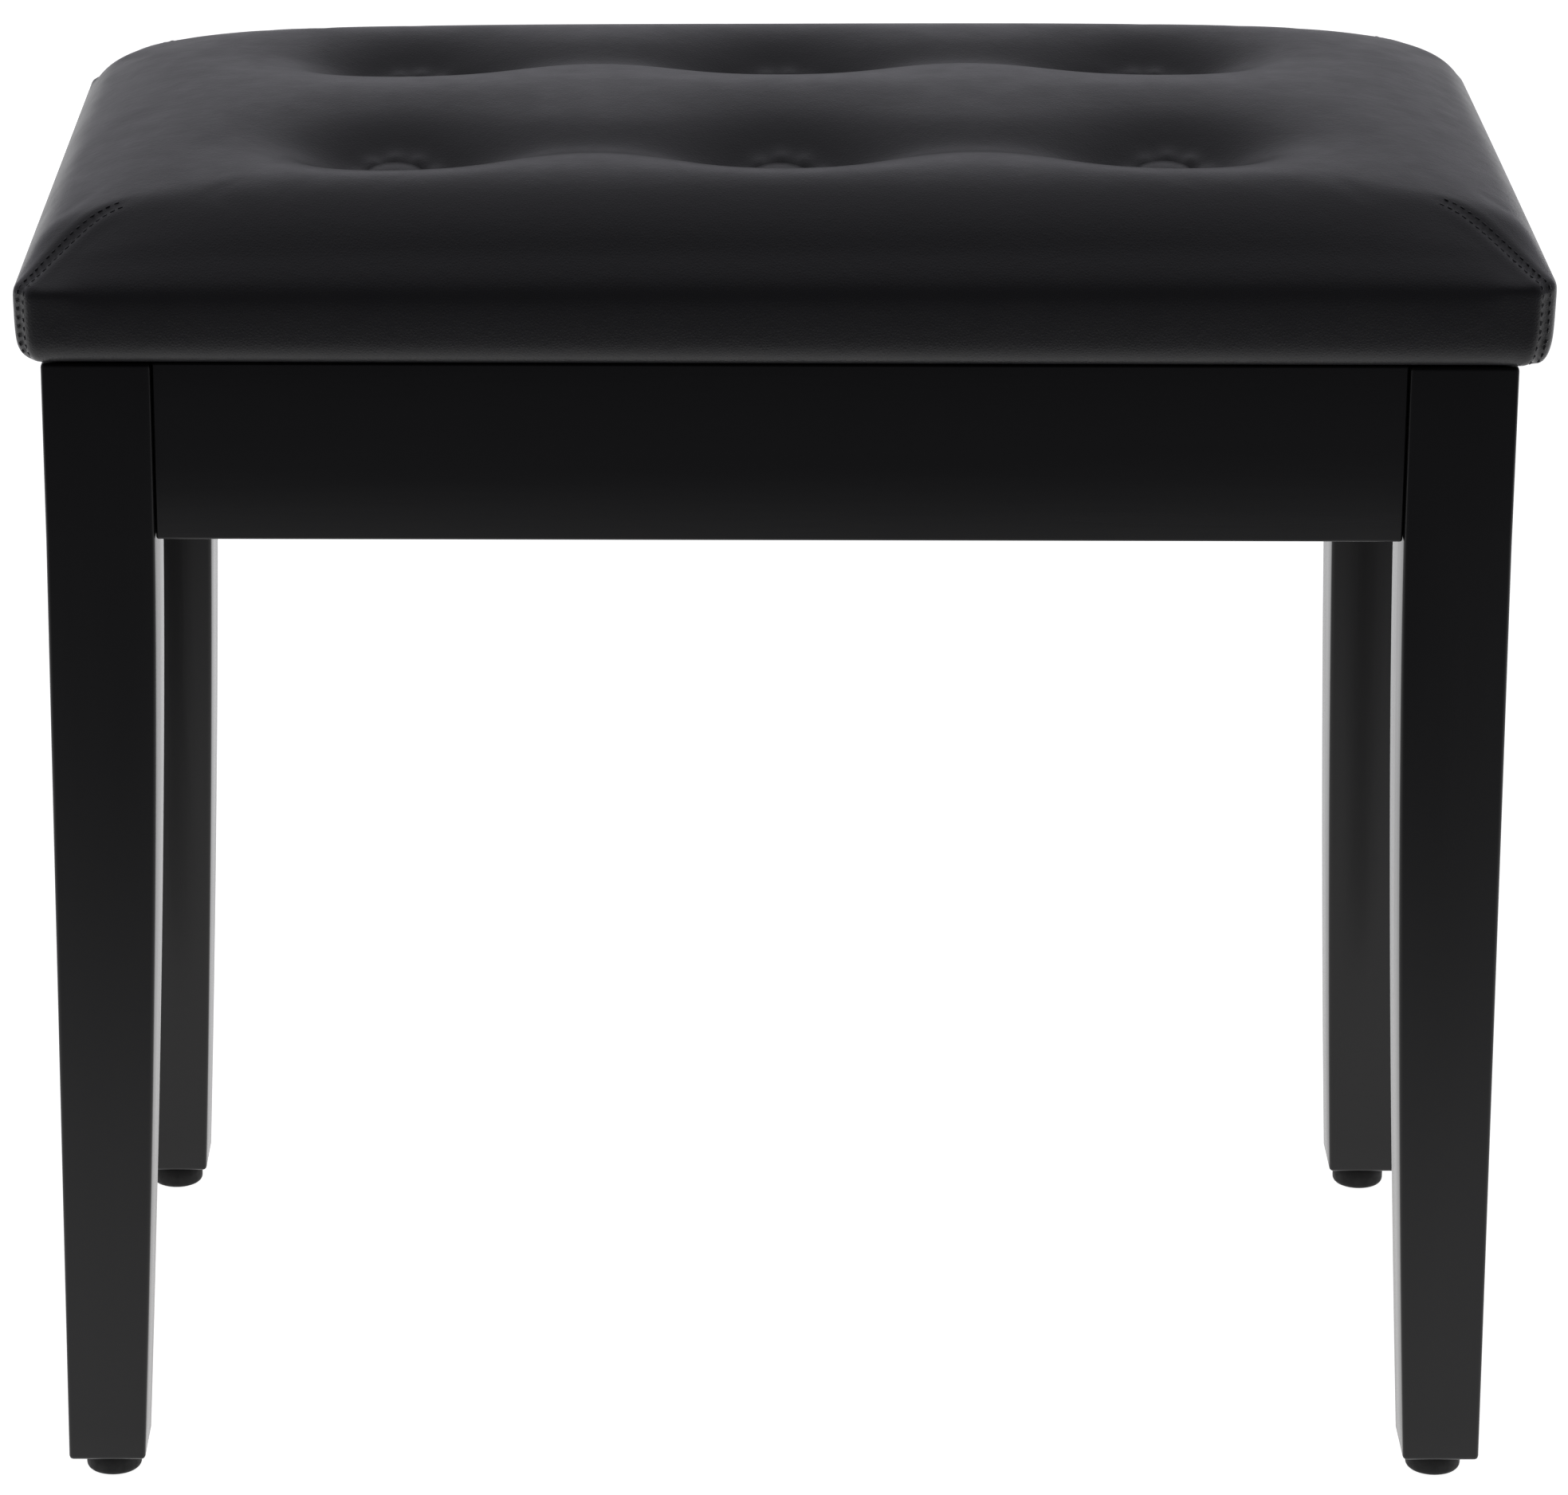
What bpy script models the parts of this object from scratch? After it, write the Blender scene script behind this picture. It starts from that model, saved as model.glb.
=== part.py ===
"""Piano bench: tapered legs, an apron box that holds sheet music, and a tufted seat that opens as its lid.

Metres, +Z up. The front faces -Y and the origin is on the floor, under the middle of the bench.
"""

import math

import bmesh
import bpy
from mathutils import Matrix, Vector

# Frame
FRAME_WIDTH = 0.532
FRAME_DEPTH = 0.310
FRAME_TOP = 0.443
LEG_WIDTH = 0.0395
LEG_TOE_WIDTH = 0.029
TAPER_POWER = 1.5
TAPER_STEPS = 7
FRONT_SPLAY = 0.0028
APRON_BOTTOM = 0.3765
APRON_THICK = 0.015
APRON_SETBACK = 0.0015
FLOOR_THICK = 0.005
FLOOR_RAISE = 0.004
GLIDE_HEIGHT = 0.009
GLIDE_RADIUS = 0.0105
GLIDE_INBOARD = 0.0158

# Seat, which is the lid of the box
SEAT_WIDTH = 0.551
SEAT_DEPTH = 0.330
SEAT_BOTTOM = 0.445
BAND_TOP = 0.474
CROWN = 0.039
CROWN_RUN = 0.100
CORNER_RADIUS = 0.014
LEATHER_THICK = 0.0012
LEATHER_MARGIN = 0.030
BOARD_WIDTH = 0.537
BOARD_DEPTH = 0.316
BOARD_THICK = 0.015
DUST_COVER_CUT = 0.024
BUTTON_RADIUS = 0.011
BUTTON_PITCH_X = 0.142
BUTTON_PITCH_Y = 0.136
TUFT_DEPTH = 0.016
TUFT_RADIUS = 0.030
CELLS_PER_PITCH = 6

# Hinges and lid stay
HINGE_X = 0.150
HINGE_LENGTH = 0.060
LEAF_WIDTH = 0.018
LEAF_THICK = 0.0012
BARREL_RADIUS = 0.003
PIN_RADIUS = 0.0015
STAY_X = -0.170
STAY_PLATE = 0.0015
STAY_HALF_WIDTH = 0.005
STUD_RADIUS = 0.0025

# Fasteners
BOLT_RADIUS = 0.003
BOLT_HEIGHT = 0.412
SCREW_RADIUS = 0.00175
SCREW_HEAD_RADIUS = 0.0034
SCREW_LENGTH = 0.011

GAP = 0.0003
SIDES = 16

# Worked out from the sizes above
HALF_X = FRAME_WIDTH / 2
HALF_Y = FRAME_DEPTH / 2
LEG_FOOT = GLIDE_HEIGHT + GAP
INNER_X = HALF_X - APRON_SETBACK - APRON_THICK
INNER_Y = HALF_Y - APRON_SETBACK - APRON_THICK
FLOOR_TOP = APRON_BOTTOM + FLOOR_RAISE + FLOOR_THICK
BOARD_BOTTOM = SEAT_BOTTOM + LEATHER_THICK + 2 * GAP
BOARD_TOP = BOARD_BOTTOM + BOARD_THICK
LEAF_BACK = HALF_Y - APRON_SETBACK + GAP
HINGE_Y = LEAF_BACK + BARREL_RADIUS
HINGE_Z = SEAT_BOTTOM - GAP - BARREL_RADIUS
CORNERS = {
    "front_left": (-1, -1),
    "front_right": (1, -1),
    "rear_left": (-1, 1),
    "rear_right": (1, 1),
}

AXIS_X = Matrix.Rotation(math.pi / 2, 4, "Y")
FORWARD = Matrix.Rotation(math.pi / 2, 4, "X")


def clear_scene():
    for obj in list(bpy.data.objects):
        bpy.data.objects.remove(obj, do_unlink=True)


def make_material(name, colour, roughness, metallic=0.0):
    material = bpy.data.materials.new(name)
    material.use_nodes = True
    shader = material.node_tree.nodes["Principled BSDF"]
    shader.inputs["Base Color"].default_value = (*colour, 1.0)
    shader.inputs["Roughness"].default_value = roughness
    shader.inputs["Metallic"].default_value = metallic
    return material


def add_object(name, bm, material=None, pivot=None):
    """The bmesh as an object. A moving piece hangs from the empty that stands on its joint's axis."""
    bmesh.ops.recalc_face_normals(bm, faces=bm.faces)
    mesh = bpy.data.meshes.new(name)
    bm.to_mesh(mesh)
    bm.free()
    mesh.shade_smooth()
    mesh.set_sharp_from_angle(angle=math.radians(35))
    if material is not None:
        mesh.materials.append(material)
    obj = bpy.data.objects.new(name, mesh)
    bpy.context.scene.collection.objects.link(obj)
    if pivot is not None:
        obj.parent = pivot
        obj.matrix_parent_inverse = Matrix.Translation(-pivot.location)
    return obj


def add_pivot(name, y, z):
    pivot = bpy.data.objects.new(name, None)
    pivot.location = (0.0, y, z)
    pivot.empty_display_size = 0.03
    bpy.context.scene.collection.objects.link(pivot)
    return pivot


def add_helper(name, bm):
    """A shape that is only cut from, or joined to, other pieces."""
    helper = add_object(name, bm)
    helper.hide_render = True
    helper.display_type = "WIRE"
    return helper


def combine(obj, helper, operation="DIFFERENCE"):
    modifier = obj.modifiers.new(f"{operation.lower()}_{helper.name}", "BOOLEAN")
    modifier.operation = operation
    modifier.object = helper


def soften(obj, width, segments=1):
    modifier = obj.modifiers.new("soften", "BEVEL")
    modifier.width = width
    modifier.segments = segments
    modifier.limit_method = "ANGLE"
    modifier.angle_limit = math.radians(40)


def box_mesh(low, high):
    low, high = Vector(low), Vector(high)
    bm = bmesh.new()
    size = Matrix.Diagonal((high - low).to_4d())
    bmesh.ops.create_cube(bm, size=1.0, matrix=Matrix.Translation((low + high) / 2) @ size)
    return bm


def turned_mesh(profile, place, sides=SIDES):
    """A solid of revolution: profile is (radius, height) pairs whose ends are on the axis."""
    bm = bmesh.new()
    points = [bm.verts.new((radius, 0.0, height)) for radius, height in profile]
    edges = [bm.edges.new(pair) for pair in zip(points, points[1:])]
    bmesh.ops.spin(
        bm,
        geom=points + edges,
        cent=(0, 0, 0),
        axis=(0, 0, 1),
        angle=2 * math.pi,
        steps=sides,
        use_merge=True,
    )
    bmesh.ops.remove_doubles(bm, verts=bm.verts, dist=1e-6)
    bmesh.ops.transform(bm, matrix=place, verts=bm.verts)
    return bm


def rod_mesh(radius, length, place, sides=SIDES):
    """A cylinder turned half a side, so that a flat and not an edge meets what it touches."""
    turn = Matrix.Rotation(math.pi / sides, 4, "Z")
    return turned_mesh([(0, 0), (radius, 0), (radius, length), (0, length)], place @ turn, sides)


def outline_mesh(points, low, high):
    """An outline in X and Y, extruded from one height to another."""
    bm = bmesh.new()
    face = bm.faces.new([bm.verts.new((x, y, low)) for x, y in points])
    grown = bmesh.ops.extrude_face_region(bm, geom=[face])
    tops = [item for item in grown["geom"] if isinstance(item, bmesh.types.BMVert)]
    bmesh.ops.translate(bm, vec=(0, 0, high - low), verts=tops)
    return bm


def cut_corners(reach_x, reach_y, cut):
    """A rectangle round the origin with its corners cut off."""
    outline = []
    for toward_x, toward_y in ((1, 1), (-1, 1), (-1, -1), (1, -1)):
        points = [
            (toward_x * reach_x, toward_y * (reach_y - cut)),
            (toward_x * (reach_x - cut), toward_y * reach_y),
        ]
        outline += points if toward_x == toward_y else points[::-1]
    return outline


# Frame


def leg_width(height):
    """Full width beside the apron, then a gentle curve to the narrow toe."""
    fall = (APRON_BOTTOM - height) / (APRON_BOTTOM - LEG_FOOT)
    return LEG_WIDTH - (LEG_WIDTH - LEG_TOE_WIDTH) * max(fall, 0.0) ** TAPER_POWER


def leg_outer_x(height, toward_y):
    """How far out a leg's outer face is. The front legs stand a little astride below the apron."""
    fall = (APRON_BOTTOM - height) / (APRON_BOTTOM - LEG_FOOT)
    return HALF_X + (FRONT_SPLAY * max(fall, 0.0) if toward_y < 0 else 0.0)


def add_leg(corner, sides, wood):
    """A square post whose outer faces stay straight while its two inner faces taper."""
    toward_x, toward_y = sides
    heights = [FRAME_TOP]
    for step in range(TAPER_STEPS + 1):
        heights.append(APRON_BOTTOM - (APRON_BOTTOM - LEG_FOOT) * step / TAPER_STEPS)
    bm = bmesh.new()
    ring = None
    for height in heights:
        inset = leg_width(height)
        outer_x = leg_outer_x(height, toward_y)
        places = [(0, 0), (inset, 0), (inset, inset), (0, inset)]
        points = [
            bm.verts.new((toward_x * (outer_x - x), toward_y * (HALF_Y - y), height))
            for x, y in places
        ]
        if ring is None:
            bm.faces.new(points)
        else:
            for side in range(4):
                after = (side + 1) % 4
                bm.faces.new((ring[side], ring[after], points[after], points[side]))
        ring = points
    bm.faces.new(ring)
    leg = add_object(f"leg_{corner}", bm, wood)
    soften(leg, 0.0015)
    return leg


def add_aprons(wood):
    """Four boards between the legs. The returned dictionary finds each by its side."""
    reach_x = HALF_X - LEG_WIDTH - GAP
    reach_y = HALF_Y - LEG_WIDTH - GAP
    face_x = HALF_X - APRON_SETBACK
    face_y = HALF_Y - APRON_SETBACK
    spans = {
        "front": ((-reach_x, -face_y), (reach_x, -INNER_Y)),
        "rear": ((-reach_x, INNER_Y), (reach_x, face_y)),
        "left": ((-face_x, -reach_y), (-INNER_X, reach_y)),
        "right": ((INNER_X, -reach_y), (face_x, reach_y)),
    }
    aprons = {}
    for side, (low, high) in spans.items():
        bm = box_mesh((*low, APRON_BOTTOM), (*high, FRAME_TOP))
        aprons[side] = add_object(f"apron_{side}", bm, wood)
        soften(aprons[side], 0.001)
    return aprons


def add_storage_floor(board):
    """A thin panel inside the aprons, notched round the legs."""
    wide, deep = INNER_X - GAP, INNER_Y - GAP
    notch_x, notch_y = HALF_X - LEG_WIDTH - GAP, HALF_Y - LEG_WIDTH - GAP
    quarter = [(wide, notch_y), (notch_x, notch_y), (notch_x, deep)]
    outline = []
    for toward_x, toward_y in ((1, 1), (-1, 1), (-1, -1), (1, -1)):
        points = [(toward_x * x, toward_y * y) for x, y in quarter]
        outline += points if toward_x == toward_y else points[::-1]
    bm = outline_mesh(outline, APRON_BOTTOM + FLOOR_RAISE, FLOOR_TOP)
    add_object("storage_floor", bm, board)


def add_corner_hardware(corner, sides, leg, steel):
    """A bent plate across the corner, and a hanger bolt through it that draws the leg into the corner."""
    toward_x, toward_y = sides
    thick = 0.002
    height = 0.040
    flange = 0.015
    reach = 2 * (INNER_X - (HALF_X - LEG_WIDTH)) + 0.003
    clear = GAP + thick / 2
    path = [(clear, reach + flange), (clear, reach), (reach, clear), (reach + flange, clear)]
    bm = bmesh.new()
    points = [
        bm.verts.new((toward_x * (INNER_X - x), toward_y * (INNER_Y - y), BOLT_HEIGHT - height / 2))
        for x, y in path
    ]
    edges = [bm.edges.new(pair) for pair in zip(points, points[1:])]
    grown = bmesh.ops.extrude_edge_only(bm, edges=edges)
    tops = [item for item in grown["geom"] if isinstance(item, bmesh.types.BMVert)]
    bmesh.ops.translate(bm, vec=(0, 0, height), verts=tops)
    bracket = add_object(f"corner_bracket_{corner}", bm, steel)
    solidify = bracket.modifiers.new("plate", "SOLIDIFY")
    solidify.thickness = thick
    solidify.offset = 0.0

    inward = Vector((-toward_x, -toward_y, 0)).normalized()
    middle = (reach + clear) / 2
    plate_centre = Vector((toward_x * (INNER_X - middle), toward_y * (INNER_Y - middle), BOLT_HEIGHT))
    turn = inward.to_track_quat("Z", "Y").to_matrix().to_4x4()
    into_leg = 0.030
    past_plate = 0.012
    start = Matrix.Translation(plate_centre - into_leg * inward) @ turn
    length = into_leg + past_plate
    add_object(f"hanger_bolt_{corner}", rod_mesh(BOLT_RADIUS, length, start, 12), steel)
    bore_start = Matrix.Translation(plate_centre - (into_leg + GAP) * inward) @ turn
    bore = add_helper(f"bolt_bore_{corner}", rod_mesh(BOLT_RADIUS + GAP, length + 0.01, bore_start, 12))
    nut_place = Matrix.Translation(plate_centre + (thick / 2 + GAP) * inward) @ turn
    nut = add_object(f"hex_nut_{corner}", rod_mesh(0.0058, 0.005, nut_place, 6), steel)
    for piece in (leg, bracket, nut):
        combine(piece, bore)


def add_glide(corner, sides, leg, rubber, steel):
    """A round foot with its screw, whose head sits in a recess from below."""
    toward_x, toward_y = sides
    outer_x = leg_outer_x(LEG_FOOT, toward_y)
    place = Matrix.Translation((toward_x * (outer_x - GLIDE_INBOARD), toward_y * (HALF_Y - GLIDE_INBOARD), 0))
    rounding = 0.002
    arc = [
        (
            GLIDE_RADIUS - rounding * (1 - math.sin(angle)),
            rounding * (1 - math.cos(angle)),
        )
        for angle in (math.radians(30 * step) for step in range(4))
    ]
    profile = [(0, 0), *arc, (GLIDE_RADIUS, GLIDE_HEIGHT), (0, GLIDE_HEIGHT)]
    glide = add_object(f"glide_{corner}", turned_mesh(profile, place, 20), rubber)
    recess = 0.005
    head = 0.0022
    hole = SCREW_RADIUS + GAP
    tip = LEG_FOOT + SCREW_LENGTH
    pocket = SCREW_HEAD_RADIUS + GAP
    bore_profile = [
        (0, -0.001),
        (pocket, -0.001),
        (pocket, recess + GAP),
        (hole, recess + GAP),
        (hole, tip + GAP),
        (0, tip + GAP),
    ]
    bore = add_helper(f"glide_bore_{corner}", turned_mesh(bore_profile, place, 12))
    screw_profile = [
        (0, recess - head),
        (SCREW_HEAD_RADIUS, recess - head),
        (SCREW_HEAD_RADIUS, recess),
        (SCREW_RADIUS, recess),
        (SCREW_RADIUS, tip - 0.002),
        (0, tip),
    ]
    add_object(f"glide_screw_{corner}", turned_mesh(screw_profile, place, 12), steel)
    combine(glide, bore)
    combine(leg, bore)


# Seat


def rise(distance):
    """How much of the crown is reached this far in from the edge."""
    run = min(max(distance, 0.0) / CROWN_RUN, 1.0)
    return 1 - (1 - run) ** 2


def button_places():
    return [(column * BUTTON_PITCH_X, row * BUTTON_PITCH_Y / 2) for row in (-1, 1) for column in (-1, 0, 1)]


def leather_height(x, y):
    """The top of the leather: a crown that every tufting button pulls down into a dimple."""
    height = BAND_TOP + CROWN * rise(SEAT_WIDTH / 2 - abs(x)) * rise(SEAT_DEPTH / 2 - abs(y))
    for button_x, button_y in button_places():
        reach = math.hypot(x - button_x, y - button_y) / TUFT_RADIUS
        height -= TUFT_DEPTH * math.exp(-(reach**2))
    return height


def grid_lines(pitch, half_size):
    """Lines at a sixth of the button pitch, out to the edge, so that one crosses each button."""
    step = pitch / CELLS_PER_PITCH
    reach = half_size - 0.010
    positive = [step * count for count in range(1, int(reach / step) + 1) if step * count < reach]
    return [-half_size] + [-line for line in reversed(positive)] + [0.0] + positive + [half_size]


def cushion_mesh(inset, drop, rings, closed):
    """The dimpled top, lowered and drawn in, and the band below it as rings of (inset, height)."""
    wide, deep = SEAT_WIDTH / 2 - inset, SEAT_DEPTH / 2 - inset
    columns = grid_lines(BUTTON_PITCH_X, wide)
    rows = grid_lines(BUTTON_PITCH_Y, deep)
    bm = bmesh.new()
    bmesh.ops.create_grid(bm, x_segments=len(columns) - 1, y_segments=len(rows) - 1, size=1.0)
    for vert in bm.verts:
        x = columns[round((vert.co.x + 1) / 2 * (len(columns) - 1))]
        y = rows[round((vert.co.y + 1) / 2 * (len(rows) - 1))]
        height = leather_height(x, y) - drop
        if abs(x) == wide and abs(y) == deep:
            cut = CORNER_RADIUS * (1 - math.sqrt(0.5))
            x -= math.copysign(cut, x)
            y -= math.copysign(cut, y)
        vert.co = (x, y, height)
    rim = [edge for edge in bm.edges if edge.is_boundary]
    drawn = inset
    for ring_inset, height in rings:
        grown = bmesh.ops.extrude_edge_only(bm, edges=rim)
        lower = [item for item in grown["geom"] if isinstance(item, bmesh.types.BMVert)]
        rim = [item for item in grown["geom"] if isinstance(item, bmesh.types.BMEdge) and item.is_boundary]
        scale_x = (SEAT_WIDTH / 2 - ring_inset) / (SEAT_WIDTH / 2 - drawn)
        scale_y = (SEAT_DEPTH / 2 - ring_inset) / (SEAT_DEPTH / 2 - drawn)
        for vert in lower:
            vert.co = (vert.co.x * scale_x, vert.co.y * scale_y, height)
        drawn = ring_inset
    if closed:
        bmesh.ops.holes_fill(bm, edges=rim, sides=0)
    return bm


def add_upholstery(lid, leather, foam, board, cloth):
    """Board, foam, the leather that wraps both, and the dust cover inside the leather's margin below."""
    board_outline = cut_corners(BOARD_WIDTH / 2, BOARD_DEPTH / 2, CORNER_RADIUS)
    seat_board = add_object("seat_board", outline_mesh(board_outline, BOARD_BOTTOM, BOARD_TOP), board, lid)
    soften(seat_board, 0.001)

    foam_rings = [(0.0026, BAND_TOP - 0.006), (0.0042, BOARD_TOP + GAP)]
    add_object("foam_pad", cushion_mesh(0.0022, 0.0026, foam_rings, closed=True), foam, lid)

    leather_rings = [
        (0.0004, BAND_TOP - 0.008),
        (0.0022, SEAT_BOTTOM + 0.004),
        (0.0045, SEAT_BOTTOM),
        (LEATHER_MARGIN, SEAT_BOTTOM),
    ]
    cover = add_object("leather_cover", cushion_mesh(0.0, 0.0, leather_rings, closed=False), leather, lid)
    solidify = cover.modifiers.new("hide", "SOLIDIFY")
    solidify.thickness = LEATHER_THICK
    solidify.offset = -1.0

    reach_x = SEAT_WIDTH / 2 - LEATHER_MARGIN - GAP
    reach_y = SEAT_DEPTH / 2 - LEATHER_MARGIN - GAP
    cover_sheet = outline_mesh(
        cut_corners(reach_x, reach_y, DUST_COVER_CUT), SEAT_BOTTOM + GAP, SEAT_BOTTOM + LEATHER_THICK
    )
    add_object("dust_cover", cover_sheet, cloth, lid)
    return seat_board, cover


def add_buttons(leather, lid):
    """Domed tufting buttons, each seated in its dimple."""
    for number, (x, y) in enumerate(button_places(), start=1):
        seat = leather_height(x, y)
        profile = [
            (0, 0.0012),
            (0.45 * BUTTON_RADIUS, 0.0030),
            (BUTTON_RADIUS, 0.0058),
            (BUTTON_RADIUS, 0.0066),
            (0.75 * BUTTON_RADIUS, 0.0088),
            (0.4 * BUTTON_RADIUS, 0.0099),
            (0, 0.0103),
        ]
        place = Matrix.Translation((x, y, seat))
        add_object(f"tuft_button_{number}", turned_mesh(profile, place, SIDES), leather, lid)


# Hinges


def add_screw(name, place, steel, pivot=None):
    """A countersunk screw that points along the place's +Z, its head's face at the place's origin."""
    profile = [
        (0, 0),
        (SCREW_HEAD_RADIUS, 0),
        (SCREW_HEAD_RADIUS, 0.0004),
        (SCREW_RADIUS, 0.0020),
        (SCREW_RADIUS, SCREW_LENGTH - 0.0025),
        (0, SCREW_LENGTH),
    ]
    add_object(name, turned_mesh(profile, place, 12), steel, pivot)
    bore_profile = [
        (0, -0.001),
        (SCREW_HEAD_RADIUS + GAP, -0.001),
        (SCREW_HEAD_RADIUS + GAP, 0.0004 + GAP / 2),
        (SCREW_RADIUS + GAP, 0.0020 + GAP / 2),
        (SCREW_RADIUS + GAP, SCREW_LENGTH + GAP),
        (0, SCREW_LENGTH + GAP),
    ]
    return add_helper(f"{name}_bore", turned_mesh(bore_profile, place, 12))


def add_hinge(side, sign, lid, apron, seat_board, cover, steel):
    """A butt hinge that wraps the rear top edge: one leaf on the apron's back, the other under the seat."""
    centre = sign * HINGE_X
    half = HINGE_LENGTH / 2
    knuckle = HINGE_LENGTH / 6
    clear = BARREL_RADIUS + 2 * GAP
    bore = add_helper(
        f"hinge_bore_{side}",
        rod_mesh(PIN_RADIUS + GAP, HINGE_LENGTH + 0.01, barrel_place(centre - half - 0.005)),
    )

    def add_leaf(name, plate, barrels, notches, pivot):
        leaf = add_object(name, plate, steel, pivot)
        for number, (low, high) in enumerate(notches):
            combine(leaf, add_helper(f"{name}_notch_{number}", box_mesh(low, high)))
        for number, (start, end) in enumerate(barrels):
            barrel_mesh = rod_mesh(BARREL_RADIUS, end - start, barrel_place(centre + start))
            combine(leaf, add_helper(f"{name}_barrel_{number}", barrel_mesh), "UNION")
        combine(leaf, bore)
        return leaf

    leaf_front = LEAF_BACK + LEAF_THICK
    leaf_top = SEAT_BOTTOM - GAP
    margin = 0.001
    into_barrel = 0.4 * BARREL_RADIUS
    outer = [(-half + GAP, -knuckle - 2 * GAP), (knuckle + 2 * GAP, half - GAP)]
    frame_notch = (
        (centre - knuckle - GAP, LEAF_BACK - margin, HINGE_Z - clear),
        (centre + knuckle + GAP, leaf_front + margin, HINGE_Z + margin),
    )
    frame_plate = box_mesh(
        (centre - half, LEAF_BACK, HINGE_Z - LEAF_WIDTH), (centre + half, leaf_front, HINGE_Z - into_barrel)
    )
    frame_leaf = add_leaf(f"hinge_frame_leaf_{side}", frame_plate, outer, [frame_notch], None)

    middle = [(-knuckle + GAP, knuckle - GAP)]
    lid_notches = [
        (
            (centre + start, HINGE_Y - clear, leaf_top - LEAF_THICK - margin),
            (centre + end, HINGE_Y + margin, leaf_top + margin),
        )
        for start, end in ((-half - margin, -knuckle), (knuckle, half + margin))
    ]
    lid_plate = box_mesh(
        (centre - half, HINGE_Y - LEAF_WIDTH, leaf_top - LEAF_THICK),
        (centre + half, HINGE_Y - into_barrel, leaf_top),
    )
    lid_leaf = add_leaf(f"hinge_lid_leaf_{side}", lid_plate, middle, lid_notches, lid)

    head = 0.0010
    pin_profile = [
        (0, -head - GAP),
        (0.85 * BARREL_RADIUS, -head - GAP),
        (0.85 * BARREL_RADIUS, -GAP),
        (PIN_RADIUS, -GAP),
        (PIN_RADIUS, HINGE_LENGTH + GAP),
        (0.85 * BARREL_RADIUS, HINGE_LENGTH + GAP),
        (0.85 * BARREL_RADIUS, HINGE_LENGTH + head + GAP),
        (0, HINGE_LENGTH + head + GAP),
    ]
    add_object(f"hinge_pin_{side}", turned_mesh(pin_profile, barrel_place(centre - half)), steel)

    screw_spread = 0.020
    for number, offset in enumerate((-screw_spread, screw_spread), start=1):
        x = centre + offset
        into_apron = Matrix.Translation((x, leaf_front, HINGE_Z - 0.0115)) @ FORWARD
        frame_bore = add_screw(f"frame_hinge_screw_{side}_{number}", into_apron, steel)
        combine(frame_leaf, frame_bore)
        combine(apron, frame_bore)
        into_seat = Matrix.Translation((x, HINGE_Y - 0.0115, leaf_top - LEAF_THICK))
        lid_bore = add_screw(f"lid_hinge_screw_{side}_{number}", into_seat, steel, lid)
        for piece in (lid_leaf, cover, seat_board):
            combine(piece, lid_bore)


def barrel_place(x):
    return Matrix.Translation((x, HINGE_Y, HINGE_Z)) @ AXIS_X


# Lid stay


def arm_mesh(start, end, low_x):
    """A flat bar with round ends from one pivot to the other, both given as (y, z)."""
    start, end = Vector(start), Vector(end)
    along = (end - start).normalized()
    heading = math.atan2(along.y, along.x)
    outline = []
    for centre, first in ((end, heading - math.pi / 2), (start, heading + math.pi / 2)):
        for step in range(9):
            angle = first + math.pi * step / 8
            outline.append(centre + STAY_HALF_WIDTH * Vector((math.cos(angle), math.sin(angle))))
    bm = bmesh.new()
    face = bm.faces.new([bm.verts.new((low_x, point.x, point.y)) for point in outline])
    grown = bmesh.ops.extrude_face_region(bm, geom=[face])
    tops = [item for item in grown["geom"] if isinstance(item, bmesh.types.BMVert)]
    bmesh.ops.translate(bm, vec=(STAY_PLATE, 0, 0), verts=tops)
    return bm


def stay_pivots():
    """Frame, elbow and lid pivots as (y, z): with the hinge a rhombus, so the arms turn as the lid does."""
    frame_pivot = Vector((INNER_Y - 0.010, FLOOR_TOP + 0.0125))
    hinge = Vector((HINGE_Y, HINGE_Z))
    side = (frame_pivot - hinge).length
    below = STAY_HALF_WIDTH
    lid_pivot = hinge + Vector((-math.sqrt(side**2 - below**2), -below))
    elbow = frame_pivot + lid_pivot - hinge
    return frame_pivot, elbow, lid_pivot


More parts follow.
